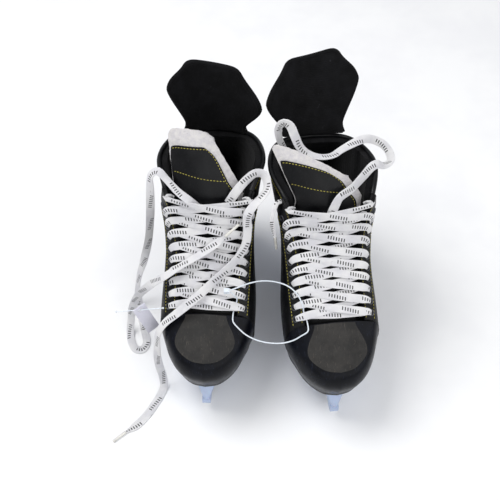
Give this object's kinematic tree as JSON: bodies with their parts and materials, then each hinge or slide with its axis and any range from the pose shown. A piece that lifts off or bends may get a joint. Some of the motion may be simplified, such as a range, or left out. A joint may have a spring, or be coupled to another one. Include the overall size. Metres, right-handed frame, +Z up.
{
  "type": "ice skates",
  "caption": "Laced ice hockey skates with felt tongues, flexing tendon guards and steel runners in plastic holders, tied together by a nylon loop.",
  "frame": {"origin": "middle of the pair's box, between the two skates, at the level of the runners' lower edges", "axes": "+X from the right skate to the left one, +Y from toes to heels, +Z up"},
  "size_m": [0.311, 0.3376, 0.2932],
  "materials": {
    "boot": "scuffed black",
    "toe_cap": "worn matte",
    "lining": "brushed",
    "felt": "felted",
    "sole": "moulded",
    "footbed": "felted foam",
    "holder": "moulded",
    "steel": "ground and polished",
    "lace": "braided",
    "aglet": "clear film",
    "nylon": "clear nylon",
    "paper": "plain card"
  },
  "bodies": {
    "skates": {"right_runner": "steel", "right_holder": "holder", "right_runner_bolt_front": "steel", "right_runner_bolt_rear": "steel", "right_outsole": "sole", "right_insole_board": "lining", "right_footbed": "footbed", "right_toe_cap": "toe_cap", "right_quarter_lateral": "boot", "right_eyestay_lateral": "boot", "right_quarter_medial": "boot", "right_eyestay_medial": "boot", "right_liner": "lining", "right_heel_stay": "boot", "right_tongue_lower": "felt", "right_lace_laced": "lace", "left_runner": "steel", "left_holder": "holder", "left_runner_bolt_front": "steel", "left_runner_bolt_rear": "steel", "left_outsole": "sole", "left_insole_board": "lining", "left_footbed": "footbed", "left_toe_cap": "toe_cap", "left_quarter_lateral": "boot", "left_eyestay_lateral": "boot", "left_quarter_medial": "boot", "left_eyestay_medial": "boot", "left_liner": "lining", "left_heel_stay": "boot", "left_tongue_lower": "felt", "left_lace_laced": "lace", "right_lace_end_medial": "lace", "right_aglet_medial": "aglet", "right_lace_end_lateral": "lace", "right_aglet_lateral": "aglet", "left_lace_end_lateral": "lace", "left_aglet_lateral": "aglet", "left_lace_end_medial": "lace", "left_aglet_medial": "aglet", "tie_loop": "nylon", "tie_lock": "nylon", "tag_barb": "nylon", "price_tag": "paper"},
    "right_tongue_top": {"right_tongue_upper": "felt"},
    "left_tongue_top": {"left_tongue_upper": "felt"},
    "right_guard": {"right_tendon_guard": "lining"},
    "left_guard": {"left_tendon_guard": "lining"}
  },
  "joints": [
    {"name": "right_guard_flex", "type": "hinge", "parent": "skates", "child": "right_guard", "pos_m": [-0.05951, 0.11478, 0.206], "axis": [-0.999, 0.0454, 0], "range_deg": [-8, 28], "stiffness_Nm_per_rad": 2},
    {"name": "right_tongue_fold", "type": "hinge", "parent": "skates", "child": "right_tongue_top", "pos_m": [-0.06455, 0.00389, 0.216], "axis": [0.999, -0.0454, 0], "range_deg": [0, 30], "stiffness_Nm_per_rad": 0.8},
    {"name": "left_guard_flex", "type": "hinge", "parent": "skates", "child": "left_guard", "pos_m": [0.04847, 0.10358, 0.206], "axis": [-0.9949, -0.1011, 0], "range_deg": [-8, 28], "stiffness_Nm_per_rad": 2},
    {"name": "left_tongue_fold", "type": "hinge", "parent": "skates", "child": "left_tongue_top", "pos_m": [0.05969, -0.00685, 0.216], "axis": [0.9949, 0.1011, 0], "range_deg": [0, 20], "stiffness_Nm_per_rad": 0.8}
  ]
}
